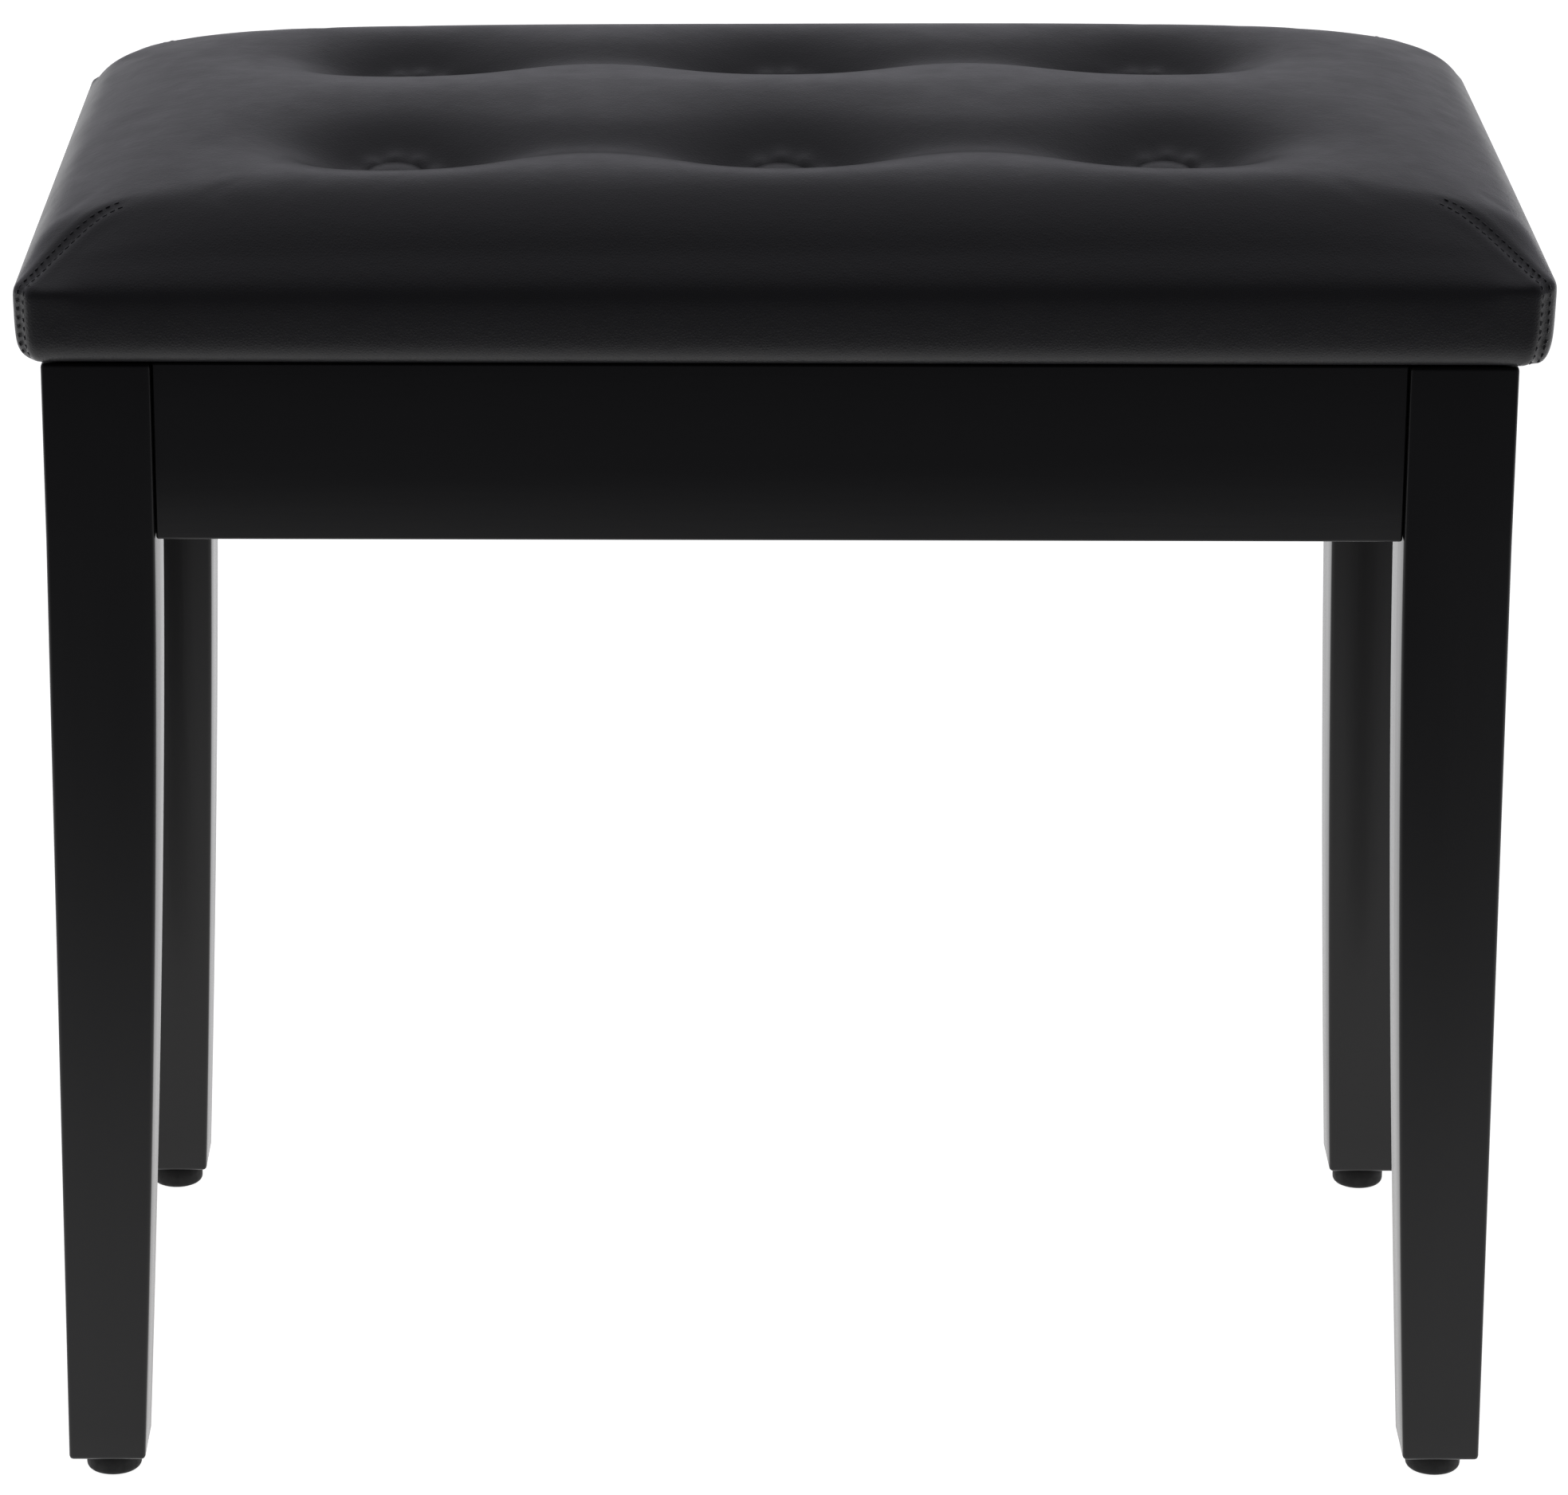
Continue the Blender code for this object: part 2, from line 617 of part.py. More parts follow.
def add_stay(lid, lower_pivot, upper_pivot, steel):
    """A folding stay in four layers side by side: frame ear, lower arm, upper arm, lid ear."""
    frame_pivot, elbow, lid_pivot = stay_pivots()
    layer = STAY_PLATE + GAP
    ear_x, lower_x, upper_x, lid_ear_x = (STAY_X + layer * number for number in range(4))
    hole = STUD_RADIUS + GAP
    cap = 0.0040
    cap_thick = 0.0010

    def hole_at(name, x, pivot):
        place = Matrix.Translation((x - 0.001, *pivot)) @ AXIS_X
        return add_helper(name, rod_mesh(hole, STAY_PLATE + 0.002, place, 12))

    def stud_mesh(length, place):
        """A stud with a cap on its far end, which holds the arm on."""
        profile = [(0, 0), (STUD_RADIUS, 0), (STUD_RADIUS, length), (cap, length)]
        profile += [(cap, length + cap_thick), (0, length + cap_thick)]
        return turned_mesh(profile, place, 12)

    plate_width = 0.014
    back = INNER_Y - GAP
    frame_plate = box_mesh(
        (ear_x - plate_width, back - STAY_PLATE, frame_pivot.y - 0.008),
        (ear_x + STAY_PLATE, back, frame_pivot.y + 0.016),
    )
    bracket = add_object("stay_frame_bracket", frame_plate, steel)
    ear = box_mesh(
        (ear_x, frame_pivot.x - STAY_HALF_WIDTH, frame_pivot.y - 0.006),
        (ear_x + STAY_PLATE, back - STAY_PLATE / 2, frame_pivot.y + 0.006),
    )
    combine(bracket, add_helper("stay_frame_ear", ear), "UNION")
    stud_start = ear_x + STAY_PLATE / 2
    stud_place = Matrix.Translation((stud_start, *frame_pivot)) @ AXIS_X
    stud = stud_mesh(lower_x + STAY_PLATE + GAP - stud_start, stud_place)
    combine(bracket, add_helper("stay_frame_stud", stud), "UNION")

    lower = add_object("stay_lower_arm", arm_mesh(frame_pivot, elbow, lower_x), steel, lower_pivot)
    combine(lower, hole_at("lower_arm_frame_hole", lower_x, frame_pivot))
    combine(lower, hole_at("lower_arm_elbow_hole", lower_x, elbow))
    upper = add_object("stay_upper_arm", arm_mesh(elbow, lid_pivot, upper_x), steel, upper_pivot)
    combine(upper, hole_at("upper_arm_elbow_hole", upper_x, elbow))
    combine(upper, hole_at("upper_arm_lid_hole", upper_x, lid_pivot))

    grip = 2 * STAY_PLATE + 3 * GAP
    rivet_profile = [
        (0, -cap_thick),
        (cap, -cap_thick),
        (cap, 0),
        (STUD_RADIUS, 0),
        (STUD_RADIUS, grip),
        (cap, grip),
        (cap, grip + cap_thick),
        (0, grip + cap_thick),
    ]
    rivet_place = Matrix.Translation((lower_x - GAP, *elbow)) @ AXIS_X
    add_object("stay_elbow_rivet", turned_mesh(rivet_profile, rivet_place, 12), steel, lower_pivot)

    top = SEAT_BOTTOM - GAP / 2
    lid_plate = box_mesh(
        (lid_ear_x, lid_pivot.x - 0.012, top - STAY_PLATE),
        (lid_ear_x + plate_width, lid_pivot.x + 0.012, top),
    )
    lid_bracket = add_object("stay_lid_bracket", lid_plate, steel, lid)
    lid_ear = box_mesh(
        (lid_ear_x, lid_pivot.x - 0.006, lid_pivot.y - STAY_HALF_WIDTH),
        (lid_ear_x + STAY_PLATE, lid_pivot.x + 0.006, top - STAY_PLATE / 2),
    )
    combine(lid_bracket, add_helper("stay_lid_ear", lid_ear), "UNION")
    stud_start = lid_ear_x + STAY_PLATE / 2
    toward_arm = Matrix.Rotation(-math.pi / 2, 4, "Y")
    stud_place = Matrix.Translation((stud_start, *lid_pivot)) @ toward_arm
    stud = stud_mesh(stud_start - upper_x + GAP, stud_place)
    combine(lid_bracket, add_helper("stay_lid_stud", stud), "UNION")


def add_bumpers(rubber):
    """Two thin rubber discs on the front legs, which the seat comes down on."""
    for side, sign in (("left", -1), ("right", 1)):
        x = sign * (HALF_X - LEG_WIDTH / 2)
        y = -(HALF_Y - LEG_WIDTH / 2)
        place = Matrix.Translation((x, y, FRAME_TOP + GAP))
        height = SEAT_BOTTOM - FRAME_TOP - 2 * GAP
        add_object(f"lid_bumper_{side}", rod_mesh(0.005, height, place), rubber)


def main():
    clear_scene()
    black_wood = make_material("black_satin_wood", (0.008, 0.008, 0.009), 0.30)
    plywood = make_material("plywood", (0.42, 0.30, 0.18), 0.65)
    leather = make_material("black_leather", (0.012, 0.012, 0.014), 0.38)
    foam = make_material("foam", (0.75, 0.72, 0.60), 0.95)
    cloth = make_material("dust_cloth", (0.015, 0.015, 0.015), 0.95)
    steel = make_material("zinc_steel", (0.55, 0.55, 0.56), 0.35, 1.0)
    rubber = make_material("black_rubber", (0.015, 0.015, 0.015), 0.70)

    aprons = add_aprons(black_wood)
    add_storage_floor(plywood)
    for corner, sides in CORNERS.items():
        leg = add_leg(corner, sides, black_wood)
        add_corner_hardware(corner, sides, leg, steel)
        add_glide(corner, sides, leg, rubber, steel)
    add_bumpers(rubber)

    lid = add_pivot("lid_axis", HINGE_Y, HINGE_Z)
    seat_board, cover = add_upholstery(lid, leather, foam, plywood, cloth)
    add_buttons(leather, lid)
    for side, sign in (("left", -1), ("right", 1)):
        add_hinge(side, sign, lid, aprons["rear"], seat_board, cover, steel)

    frame_pivot, elbow, _ = stay_pivots()
    lower_pivot = add_pivot("lower_arm_axis", *frame_pivot)
    upper_pivot = add_pivot("upper_arm_axis", *elbow)
    add_stay(lid, lower_pivot, upper_pivot, steel)


main()
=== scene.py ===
"""Looks of the piano bench: tufted leather seat, satin black wood, zinc hardware and a white studio."""

import math

import bmesh
import bpy
import mathutils
from mathutils import Matrix, Vector


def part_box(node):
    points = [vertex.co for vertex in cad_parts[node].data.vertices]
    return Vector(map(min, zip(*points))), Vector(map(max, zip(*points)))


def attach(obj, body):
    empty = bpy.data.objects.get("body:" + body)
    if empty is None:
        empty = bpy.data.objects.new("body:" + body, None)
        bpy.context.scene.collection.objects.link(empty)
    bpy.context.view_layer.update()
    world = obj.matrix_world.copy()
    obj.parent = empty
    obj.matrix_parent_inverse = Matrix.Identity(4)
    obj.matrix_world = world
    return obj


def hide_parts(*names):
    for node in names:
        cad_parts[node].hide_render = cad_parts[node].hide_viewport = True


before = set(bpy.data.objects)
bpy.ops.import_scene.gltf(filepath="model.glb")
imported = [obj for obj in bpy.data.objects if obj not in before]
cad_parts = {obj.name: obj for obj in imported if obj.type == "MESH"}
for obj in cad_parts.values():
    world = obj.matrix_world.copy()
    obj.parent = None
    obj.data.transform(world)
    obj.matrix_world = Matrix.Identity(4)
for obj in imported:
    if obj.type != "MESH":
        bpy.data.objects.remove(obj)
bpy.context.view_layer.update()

# Places and sizes, read from the frame
COVER_LOW, COVER_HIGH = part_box("leather_cover")
DUST_LOW, DUST_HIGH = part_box("dust_cover")
DUST_MIDDLE = (DUST_LOW + DUST_HIGH) / 2
DUST_HALF = (DUST_HIGH - DUST_LOW) / 2
DUST_CORNER = 0.028
HALF_WIDE = COVER_HIGH.x
HALF_DEEP = COVER_HIGH.y
SEAT_BOTTOM = COVER_LOW.z
LEG_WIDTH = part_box("leg_rear_right")[1].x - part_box("leg_rear_right")[0].x
CORNERS = {
    "front_left": (-1, -1),
    "front_right": (1, -1),
    "rear_left": (-1, 1),
    "rear_right": (1, 1),
}


def middle(node):
    low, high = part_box(node)
    return (low + high) / 2


BUTTONS = [middle(f"tuft_button_{number}") for number in range(1, 7)]
PITCH = abs(BUTTONS[1].x - BUTTONS[0].x)

# Seat shape
BAND_HEIGHT = 0.0290
BAND_TOP = SEAT_BOTTOM + BAND_HEIGHT
CROWN = 0.0352
CORNER_ROUND = 0.012
EDGE_ROLL = 0.0020
PROUD = 0.0010
TUFT_DEPTH = 0.0180
TUFT_WIDE = 0.037
TUFT_DEEP = 0.0275
TUFT_POWER = 2.1
VALLEY_DEPTH = 0.0060
VALLEY_WIDTH = 0.018
MOST_SWELL = 0.005
SWELL_FRAMES = 20
LID_TILT = 0.0016
LID_SHIFT = 0.0016
GRID_STEP = 0.0036
BUTTON_RADIUS = 0.0112
BUTTON_LIFT = 0.0030
PLEATS = 11
PLEAT_DEPTH = 0.0006
GATHER_RISE = 0.0028
GATHER_REACH = 0.0138
GATHER_WIDTH = 0.0050
SEAM_RUN_X = 0.040
SEAM_RUN_Y = 0.034
SEAM_FADE = 26
SEAM_GROOVE = 0.0009
SEAM_FULLNESS = 0.0004
STITCH_PITCH = 0.0033

# Frame shape
LEG_TOE_WIDTH = 0.029
LEG_STEPS = 26
TAPER_POWER = 1.5
LEG_EDGE = 0.0016
APRON_EDGE = 0.0010
GLIDE_EDGE = 0.0022
GLIDE_RECESS = 0.0045
GLIDE_RECESS_RADIUS = 0.0037


# Materials


def new_material(name, colour, roughness, metallic=0.0, specular=0.5):
    material = bpy.data.materials.new(name)
    material.use_nodes = True
    shader = material.node_tree.nodes["Principled BSDF"]
    shader.inputs["Base Color"].default_value = (*colour, 1.0)
    shader.inputs["Roughness"].default_value = roughness
    shader.inputs["Metallic"].default_value = metallic
    shader.inputs["Specular IOR Level"].default_value = specular
    return material


def add_node(owner, kind, **values):
    """A node in a material or the world. Each value goes to the input of its name, or to the setting."""
    node = owner.node_tree.nodes.new(kind)
    for name, value in values.items():
        if name in node.inputs:
            node.inputs[name].default_value = value
        else:
            setattr(node, name, value)
    return node


def link(owner, source, output, target, socket):
    owner.node_tree.links.new(source.outputs[output], target.inputs[socket])


def mapped(owner, source, output, start, end, low, high, **values):
    """An output carried over from the range start to end into the range low to high."""
    spread = add_node(owner, "ShaderNodeMapRange", **values)
    for name, value in (("From Min", start), ("From Max", end), ("To Min", low), ("To Max", high)):
        spread.inputs[name].default_value = value
    link(owner, source, output, spread, "Value")
    return spread


def fade_along_y(owner, coordinate, start, end, low, high):
    """A soft change along Y from one value to another."""
    where = add_node(owner, "ShaderNodeTexCoord")
    parts = add_node(owner, "ShaderNodeSeparateXYZ")
    link(owner, where, coordinate, parts, "Vector")
    return mapped(owner, parts, "Y", start, end, low, high, interpolation_type="SMOOTHSTEP")


def object_place(material, scale=(1, 1, 1)):
    """Object coordinates, stretched where a grain runs one way."""
    where = add_node(material, "ShaderNodeTexCoord")
    mapping = add_node(material, "ShaderNodeMapping")
    mapping.inputs["Scale"].default_value = scale
    link(material, where, "Object", mapping, "Vector")
    return mapping


def noise_between(material, place, size, low, high):
    """Noise with features of that size in metres, as a value from low to high."""
    pattern = add_node(material, "ShaderNodeTexNoise", Scale=1 / size, Detail=3.0)
    link(material, place, "Vector", pattern, "Vector")
    return mapped(material, pattern, "Fac", 0.3, 0.7, low, high)


def two_tone(material, place, size, dark, light):
    """Base colour that drifts between two close tones."""
    share = noise_between(material, place, size, 0.0, 1.0)
    mix = add_node(material, "ShaderNodeMix", data_type="RGBA")
    mix.inputs["A"].default_value = (*dark, 1.0)
    mix.inputs["B"].default_value = (*light, 1.0)
    link(material, share, "Result", mix, "Factor")
    link(material, mix, "Result", material.node_tree.nodes["Principled BSDF"], "Base Color")


def drive_roughness(material, place, size, low, high):
    value = noise_between(material, place, size, low, high)
    link(material, value, "Result", material.node_tree.nodes["Principled BSDF"], "Roughness")


def add_bump(material, source, output, strength, depth, under=None):
    """Fine relief from a pattern, on top of another relief where one is given."""
    bump = add_node(material, "ShaderNodeBump", Strength=strength, Distance=depth)
    link(material, source, output, bump, "Height")
    if under is not None:
        link(material, under, "Normal", bump, "Normal")
    link(material, bump, "Normal", material.node_tree.nodes["Principled BSDF"], "Normal")
    return bump


def leather():
    """Pebbled black leather: fine cells, softer creases, and a finish that is a little uneven."""
    material = new_material("black_leather", (0.007, 0.007, 0.008), 0.34, specular=0.42)
    place = object_place(material)
    two_tone(material, place, 0.03, (0.0060, 0.0060, 0.0072), (0.0072, 0.0071, 0.0084))
    drive_roughness(material, place, 0.012, 0.32, 0.37)
    creases = add_node(material, "ShaderNodeTexNoise", Scale=260.0, Detail=3.0)
    link(material, place, "Vector", creases, "Vector")
    under = add_bump(material, creases, "Fac", 0.25, 0.0004)
    cells = add_node(material, "ShaderNodeTexVoronoi", feature="DISTANCE_TO_EDGE", Scale=850.0)
    link(material, place, "Vector", cells, "Vector")
    add_bump(material, cells, "Distance", 0.35, 0.0003, under)
    return material


def lacquered_wood(name, stretch):
    """Satin black paint over wood, whose grain still shows as faint long ripples."""
    material = new_material(name, (0.0045, 0.0045, 0.0048), 0.22, specular=0.32)
    place = object_place(material, stretch)
    two_tone(material, place, 0.05, (0.0040, 0.0040, 0.0043), (0.0060, 0.0060, 0.0063))
    drive_roughness(material, place, 0.02, 0.20, 0.28)
    grain = add_node(material, "ShaderNodeTexNoise", Scale=420.0, Detail=4.0)
    link(material, place, "Vector", grain, "Vector")
    add_bump(material, grain, "Fac", 0.10, 0.0002)
    return material


def zinc():
    material = new_material("zinc_steel", (0.40, 0.40, 0.41), 0.38, metallic=1.0)
    place = object_place(material)
    two_tone(material, place, 0.006, (0.34, 0.34, 0.35), (0.43, 0.43, 0.44))
    drive_roughness(material, place, 0.004, 0.33, 0.44)
    spangle = add_node(material, "ShaderNodeTexNoise", Scale=900.0, Detail=2.0)
    link(material, place, "Vector", spangle, "Vector")
    add_bump(material, spangle, "Fac", 0.08, 0.0001)
    return material


def rubber():
    material = new_material("black_rubber", (0.006, 0.006, 0.006), 0.6, specular=0.25)
    place = object_place(material)
    two_tone(material, place, 0.004, (0.004, 0.004, 0.004), (0.008, 0.008, 0.008))
    drive_roughness(material, place, 0.002, 0.50, 0.70)
    return material


def plywood():
    """Pale birch face with long, slightly wavy grain."""
    material = new_material("plywood", (0.45, 0.33, 0.2), 0.6)
    place = object_place(material, (1, 14, 14))
    two_tone(material, place, 0.12, (0.36, 0.245, 0.14), (0.52, 0.39, 0.25))
    drive_roughness(material, place, 0.05, 0.50, 0.68)
    grain = add_node(material, "ShaderNodeTexNoise", Scale=60.0, Detail=6.0)
    link(material, place, "Vector", grain, "Vector")
    add_bump(material, grain, "Fac", 0.2, 0.0002)
    return material


def dust_cloth():
    """Spun black cloth with a fine square weave."""
    material = new_material("dust_cloth", (0.014, 0.014, 0.014), 0.95, specular=0.2)
    place = object_place(material)
    two_tone(material, place, 0.006, (0.010, 0.010, 0.010), (0.022, 0.022, 0.022))
    weave = add_node(material, "ShaderNodeTexWave", Scale=420.0, Distortion=1.5)
    link(material, place, "Vector", weave, "Vector")
    add_bump(material, weave, "Fac", 0.4, 0.0002)
    return material


def thread():
    """Black sewing thread with a slight shine. Its colour is partly the thread's own dark tone and partly
    painted highlight: it is set lighter than the leather so the stitches look as if they catch light.
    """
    # Partly painted highlight: the base colour and both tones sit lighter than black thread's own colour, so
    # the stitches read as lit.
    material = new_material("sewing_thread", (0.04, 0.04, 0.043), 0.36)
    place = object_place(material)
    two_tone(material, place, 0.001, (0.025, 0.025, 0.028), (0.060, 0.060, 0.065))
    drive_roughness(material, place, 0.0008, 0.30, 0.45)
    return material


LEATHER = leather()
THREAD = thread()
LEG_WOOD = lacquered_wood("lacquered_wood_upright", (1, 1, 0.06))
LONG_WOOD = lacquered_wood("lacquered_wood_long", (0.06, 1, 1))
SIDE_WOOD = lacquered_wood("lacquered_wood_side", (1, 0.06, 1))
ZINC = zinc()
RUBBER = rubber()
PLYWOOD = plywood()
DUST_CLOTH = dust_cloth()


# Mesh helpers


def finish_piece(name, bm, material, body, replaced=(), smooth_angle=180):
    """The bmesh as a piece that rides on a body and stands for the CAD nodes named."""
    mesh = bpy.data.meshes.new(name)
    bm.to_mesh(mesh)
    bm.free()
    mesh.shade_smooth()
    mesh.set_sharp_from_angle(angle=math.radians(smooth_angle))
    mesh.materials.append(material)
    piece = bpy.data.objects.new(name, mesh)
    bpy.context.scene.collection.objects.link(piece)
    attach(piece, body)
    if replaced:
        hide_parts(*replaced)
    return piece


def turned(profile, place, sides):
    """A solid of revolution round Z: profile is (radius, height) pairs, both ends on the axis."""
    bm = bmesh.new()
    points = [bm.verts.new((radius, 0.0, height)) for radius, height in profile]
    edges = [bm.edges.new(pair) for pair in zip(points, points[1:])]
    bmesh.ops.spin(
        bm,
        geom=points + edges,
        cent=(0, 0, 0),
        axis=(0, 0, 1),
        angle=2 * math.pi,
        steps=sides,
        use_merge=True,
    )
    bmesh.ops.remove_doubles(bm, verts=bm.verts, dist=1e-6)
    bmesh.ops.recalc_face_normals(bm, faces=bm.faces)
    bmesh.ops.transform(bm, matrix=place, verts=bm.verts)
    return bm


def bevel(bm, edges, width):
    """Rounds edges off with three narrow faces."""
    bmesh.ops.bevel(bm, geom=edges, offset=width, affect="EDGES", segments=3, profile=0.5, material=-1)


# Seat cover


def smooth_lower(first, second, softness):
    """The lower of two values, with a soft change from one to the other."""
    return -softness * math.log(math.exp(-first / softness) + math.exp(-second / softness))


def rise_from_front(distance):
    """An even slope up from the front or rear edge that turns into the flatter top."""
    slope = 0.02 + distance / 0.0418
    top = 0.74 + 0.27 * (1 - math.exp(-distance / 0.06))
    return smooth_lower(slope, top, 0.05)


def rise_from_side(distance):
    """Steep at the side edge, then a long gentle shoulder."""
    return 1 - 0.40 * math.exp(-distance / 0.007) - 0.60 * math.exp(-distance / 0.036)


def tuft_fall(x, y):
    """How far the buttons pull the leather down: a wide pocket at each, and a valley along each row."""
    fall = 0.0
    for button in BUTTONS:
        reach = math.hypot((x - button.x) / TUFT_WIDE, (y - button.y) / TUFT_DEEP)
        fall += TUFT_DEPTH * math.exp(-(reach**TUFT_POWER))
    inside = 1 / (1 + math.exp((abs(x) - PITCH - 0.02) / 0.012))
    for row in (BUTTONS[0].y, BUTTONS[3].y):
        fall += VALLEY_DEPTH * inside * math.exp(-(((y - row) / VALLEY_WIDTH) ** 2))
    return fall


def top_height(x, y):
    """Height of the leather over the seat: the crown less what the buttons pull down."""
    from_side = max(HALF_WIDE - abs(x), 0.0)
    from_front = max(HALF_DEEP - abs(y), 0.0)
    return BAND_TOP + CROWN * rise_from_side(from_side) * rise_from_front(from_front) - tuft_fall(x, y)


def round_corner(x, y, wide, deep, radius):
    """Moves a point of a rectangle's corner square into that corner's quarter circle."""
    over_x = (abs(x) - (wide - radius)) / radius
    over_y = (abs(y) - (deep - radius)) / radius
    if over_x <= 0 or over_y <= 0:
        return x, y
    round_x = over_x * math.sqrt(1 - over_y**2 / 2)
    round_y = over_y * math.sqrt(1 - over_x**2 / 2)
    return (
        math.copysign(wide - radius + radius * round_x, x),
        math.copysign(deep - radius + radius * round_y, y),
    )


def ring_place(vert, inset):
    """Where a point of the rim goes when the outline is drawn in by the inset."""
    wide, deep = HALF_WIDE + PROUD, HALF_DEEP + PROUD
    core_x = max(-wide + CORNER_ROUND, min(wide - CORNER_ROUND, vert.co.x))
    core_y = max(-deep + CORNER_ROUND, min(deep - CORNER_ROUND, vert.co.y))
    outward = Vector((vert.co.x - core_x, vert.co.y - core_y)).normalized()
    near = min(inset, CORNER_ROUND * 0.7)
    x = core_x + outward.x * (CORNER_ROUND - near)
    y = core_y + outward.y * (CORNER_ROUND - near)
    further = inset - near
    return x * (1 - further / HALF_WIDE), y * (1 - further / HALF_DEEP)


def band_rings():
    """Inset and drop below the band's top, ring by ring: a small roll, the band, its lower roll, the hem."""
    upper_roll = [(0.0008, 0.0004), (0.0001, 0.0018)]
    band = [(0.0, 0.0040), (0.0001, 0.0070), (0.0002, 0.0105), (0.0003, 0.0140), (0.0005, 0.0175)]
    lower_roll = [(0.0008, 0.0210), (0.0015, 0.0240), (0.0028, 0.0265), (0.0046, 0.0282)]
    hem = [(inset, BAND_HEIGHT) for inset in (0.0068, 0.0120, 0.0210, 0.0310)]
    return [*upper_roll, *band, *lower_roll, *hem, (0.0312, BAND_HEIGHT - 0.0016)]


def cover_mesh():
    """The tufted top as a fine grid, then the band, its rolled lower edge and the margin under the board."""
    wide, deep = HALF_WIDE + PROUD - EDGE_ROLL, HALF_DEEP + PROUD - EDGE_ROLL
    columns = 2 * round(wide / GRID_STEP)
    rows = 2 * round(deep / GRID_STEP)
    bm = bmesh.new()
    bmesh.ops.create_grid(bm, x_segments=columns, y_segments=rows, size=1.0)
    for vert in bm.verts:
        x, y = round_corner(vert.co.x * wide, vert.co.y * deep, wide, deep, CORNER_ROUND - EDGE_ROLL)
        vert.co = (x, y, top_height(x, y))
    rim = [edge for edge in bm.edges if edge.is_boundary]
    for inset, drop in band_rings():
        grown = bmesh.ops.extrude_edge_only(bm, edges=rim)["geom"]
        rim = [item for item in grown if isinstance(item, bmesh.types.BMEdge) and item.is_boundary]
        for vert in [item for item in grown if isinstance(item, bmesh.types.BMVert)]:
            x, y = ring_place(vert, inset)
            vert.co = (x, y, BAND_TOP - drop)
    bmesh.ops.recalc_face_normals(bm, faces=bm.faces)
    return bm


def close_underside(piece):
    """Fills the opening inside the hem, where the dust cover lies."""
    bm = bmesh.new()
    bm.from_mesh(piece.data)
    bmesh.ops.holes_fill(bm, edges=[edge for edge in bm.edges if edge.is_boundary], sides=0)
    bmesh.ops.recalc_face_normals(bm, faces=bm.faces)
    bm.to_mesh(piece.data)
    bm.free()


def soften_front_edge(bm):
    """Rounds the turn from the long slopes into the band, which is softer than the turn at the ends."""
    turn = [
        vert
        for vert in bm.verts
        if abs(vert.co.y) > HALF_DEEP - 0.016
        and abs(vert.co.x) < HALF_WIDE - 0.020
        and BAND_TOP - 0.012 < vert.co.z < BAND_TOP + 0.012
    ]
    for _ in range(14):
        bmesh.ops.smooth_vert(bm, verts=turn, factor=0.5, use_axis_x=False, use_axis_y=True, use_axis_z=True)


def held_weight(place):
    """1 where the leather can't move: the band and underside, and under each button."""
    weight = 0.0
    for button in BUTTONS:
        reach = math.hypot(place.x - button.x, place.y - button.y)
        weight = max(weight, min(1.0, 1.6 - reach / 0.010))
    near_edge = min(HALF_WIDE - abs(place.x), HALF_DEEP - abs(place.y))
    weight = max(weight, 1 - max(near_edge - 0.004, 0.0) / 0.012)
    return max(weight, 0.0)


def swell(cover):
    """Lets the padding press the leather out between its fixings. No point moves more than MOST_SWELL."""
    held = cover.vertex_groups.new(name="held")
    for vert in cover.data.vertices:
        held.add([vert.index], held_weight(vert.co), "REPLACE")
    start = [vert.co.copy() for vert in cover.data.vertices]
    padding = cover.modifiers.new("padding", "CLOTH")
    cloth = padding.settings
    cloth.quality = 5
    cloth.mass = 0.3
    cloth.tension_stiffness = 12
    cloth.compression_stiffness = 12
    cloth.shear_stiffness = 6
    cloth.bending_stiffness = 0.6
    cloth.vertex_group_mass = "held"
    cloth.pin_stiffness = 2.0
    cloth.use_pressure = True
    cloth.uniform_pressure_force = 4.0
    cloth.effector_weights.gravity = 0.0
    padding.point_cache.frame_start = 1
    padding.point_cache.frame_end = SWELL_FRAMES
    scene = bpy.context.scene
    for step in range(1, SWELL_FRAMES + 1):
        scene.frame_set(step)
    pressed = cover.evaluated_get(bpy.context.evaluated_depsgraph_get())
    places = [vert.co.copy() for vert in pressed.data.vertices]
    cover.modifiers.remove(padding)
    scene.frame_set(1)
    for vert, before, after in zip(cover.data.vertices, start, places):
        moved = after - before
        if moved.length > MOST_SWELL:
            moved *= MOST_SWELL / moved.length
        vert.co = before + moved
    cover.vertex_groups.clear()


def subdivide_once(piece):
    """One level of subdivision, kept in the mesh."""
    smoother = piece.modifiers.new("smoother", "SUBSURF")
    smoother.levels = smoother.render_levels = 1
    evaluated = piece.evaluated_get(bpy.context.evaluated_depsgraph_get())
    finer = bpy.data.meshes.new_from_object(evaluated)
    piece.modifiers.remove(smoother)
    coarse = piece.data
    piece.data = finer
    bpy.data.meshes.remove(coarse)


def seam_path(corner, surface):
    """Points and normals on the leather along a corner's seam, from the hem up and in over the slope."""
    toward_x, toward_y = CORNERS[corner]
    wide, deep = HALF_WIDE + PROUD, HALF_DEEP + PROUD
    diagonal = CORNER_ROUND * (1 - math.sqrt(0.5))
    knee = Vector((toward_x * (wide - diagonal), toward_y * (deep - diagonal), BAND_TOP - 0.002))
    foot = Vector((knee.x - toward_x * 0.004, knee.y - toward_y * 0.004, SEAT_BOTTOM + 0.003))
    points = [foot.lerp(knee, step / 24) for step in range(24)]
    for step in range(61):
        share = step / 60
        x = knee.x - toward_x * SEAM_RUN_X * share
        y = knee.y - toward_y * SEAM_RUN_Y * (1 - (1 - share) ** 1.7)
        points.append(Vector((x, y, top_height(x, y))))
    path = []
    for point in points:
        place, normal, _, _ = surface.find_nearest(point)
        path.append((place, normal))
    return path


